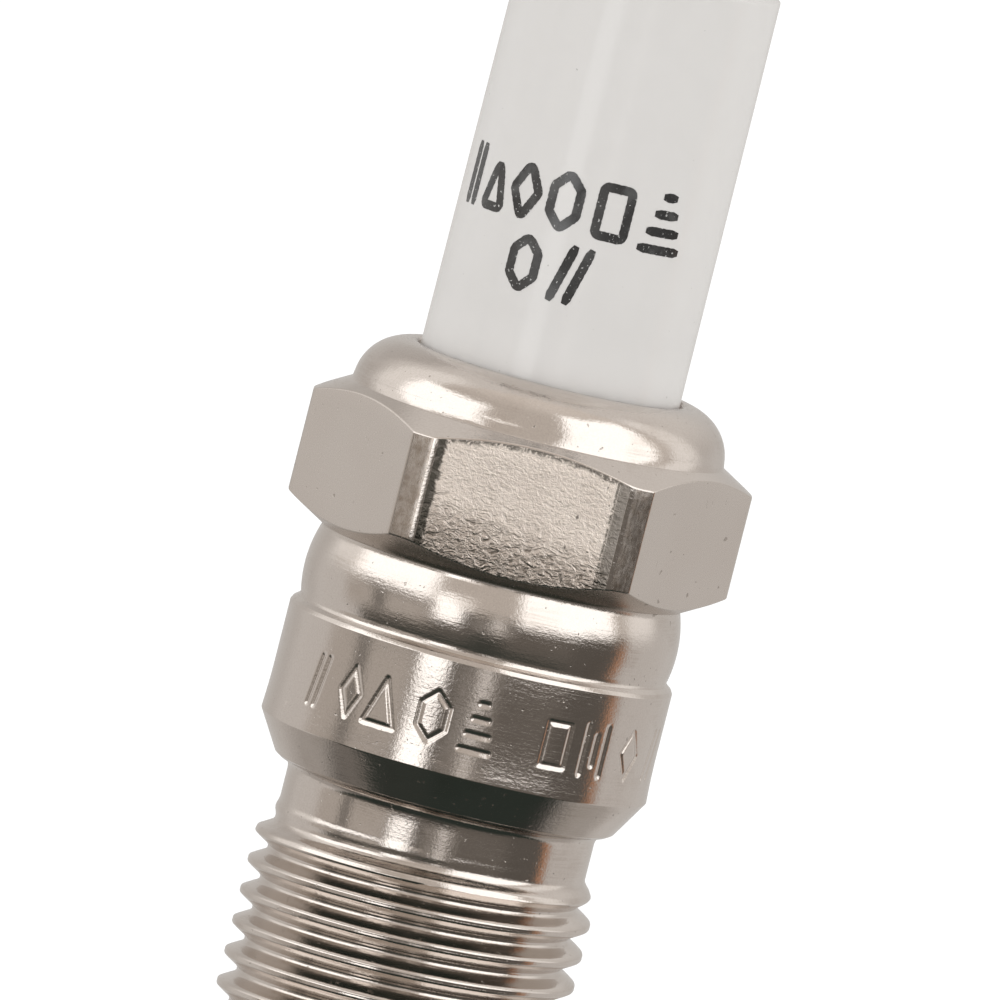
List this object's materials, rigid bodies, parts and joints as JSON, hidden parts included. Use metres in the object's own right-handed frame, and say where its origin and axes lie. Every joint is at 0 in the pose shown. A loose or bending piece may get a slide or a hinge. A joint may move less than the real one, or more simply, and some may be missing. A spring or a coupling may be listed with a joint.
{
  "type": "spark plug",
  "caption": "Conical-seat spark plug with a long threaded reach, hexagon, smooth ceramic insulator, fine-wire tip and removable terminal nut.",
  "frame": {"origin": "on the plug's axis, at the gauge plane of the conical seat, where the cone is 14.8 mm across", "axes": "+Z along the plug's axis towards the terminal; -Y is the outward normal of one flat of the hexagon; the ground electrode is on the +X side"},
  "size_m": [0.0178, 0.0158, 0.084],
  "materials": {
    "nickel_plated_steel": "bright nickel plate, polished on turned parts, rough on the hexagon's flats",
    "glazed_alumina": "white glaze, glossy",
    "mild_steel": "bare mild steel, pressed",
    "talc": "pressed powder, matt",
    "zinc_plated_steel": "zinc plate, satin",
    "conductive_glass": "copper-filled glass, dull",
    "resistor_composite": "sintered glass and carbon, dull",
    "nickel_alloy": "drawn nickel alloy, satin",
    "copper": "pure copper, bare",
    "precious_metal": "iridium or platinum, smooth",
    "printed_ink": "fired black ink under the glaze"
  },
  "bodies": {
    "plug": {"shell": "nickel_plated_steel", "insulator": "glazed_alumina", "insulator_seat_washer": "mild_steel", "lower_packing_ring": "mild_steel", "upper_packing_ring": "mild_steel", "talc_packing": "talc", "terminal_stud": "zinc_plated_steel", "upper_glass_seal": "conductive_glass", "resistor": "resistor_composite", "lower_glass_seal": "conductive_glass", "centre_electrode": "nickel_alloy", "centre_electrode_copper_core": "copper", "iridium_tip": "precious_metal", "ground_electrode": "nickel_alloy", "ground_electrode_copper_core": "copper", "platinum_pad": "precious_metal"},
    "terminal_nut": {"terminal_nut": "nickel_plated_steel"}
  },
  "joints": [
    {"name": "terminal_nut_removal", "type": "slide", "parent": "plug", "child": "terminal_nut", "axis": [0, 0, 1], "range_m": [0, 0.0085]}
  ]
}
